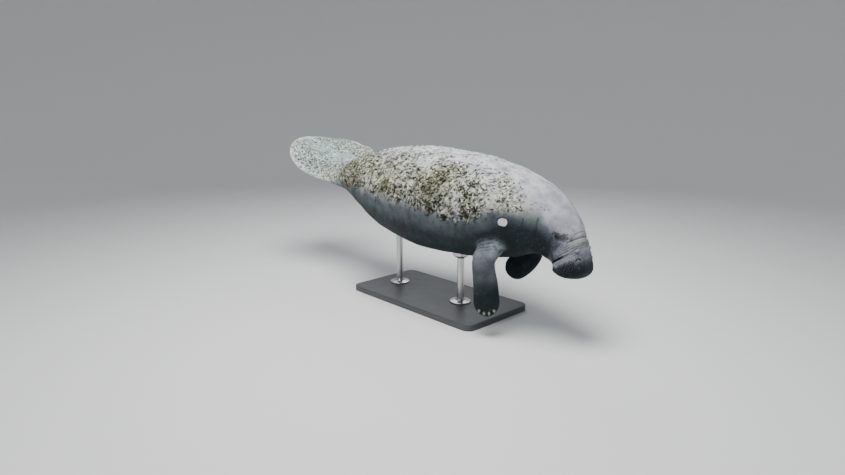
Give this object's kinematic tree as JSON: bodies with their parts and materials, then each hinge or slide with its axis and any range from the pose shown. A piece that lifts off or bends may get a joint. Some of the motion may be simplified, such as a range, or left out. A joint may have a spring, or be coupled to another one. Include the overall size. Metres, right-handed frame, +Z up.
{
  "type": "manatee model",
  "caption": "Life-size still model of an adult manatee, swimming level with its head bent down and paddle tail raised, on a flat display stand with rods.",
  "frame": {"origin": "middle of the underside of the stand's base, on the floor", "axes": "+X the way the animal looks, along its length; +Y its left side; +Z up"},
  "size_m": [2.8559, 0.746, 1.1154],
  "materials": {
    "hide": "thick grey wrinkled hide, matt, with patches of fine algae on the back",
    "flipper_hide": "smooth dark grey hide, slightly satin",
    "eye": "wet, dark, high gloss",
    "nail": "pale horn, satin",
    "stand_base": "dark grey paint, satin",
    "stand_rod": "brushed"
  },
  "bodies": {
    "root": {"head": "hide", "neck": "hide", "torso_front": "hide", "torso_middle": "hide", "torso_rear": "hide", "tail_stock": "hide", "tail_paddle": "hide", "flipper_right": "flipper_hide", "flipper_left": "flipper_hide", "eye_right": "eye", "eye_left": "eye", "nail_right_1": "nail", "nail_right_2": "nail", "nail_right_3": "nail", "nail_right_4": "nail", "nail_left_1": "nail", "nail_left_2": "nail", "nail_left_3": "nail", "nail_left_4": "nail", "stand_base": "stand_base", "stand_rod_front": "stand_rod", "stand_rod_rear": "stand_rod"}
  },
  "joints": []
}
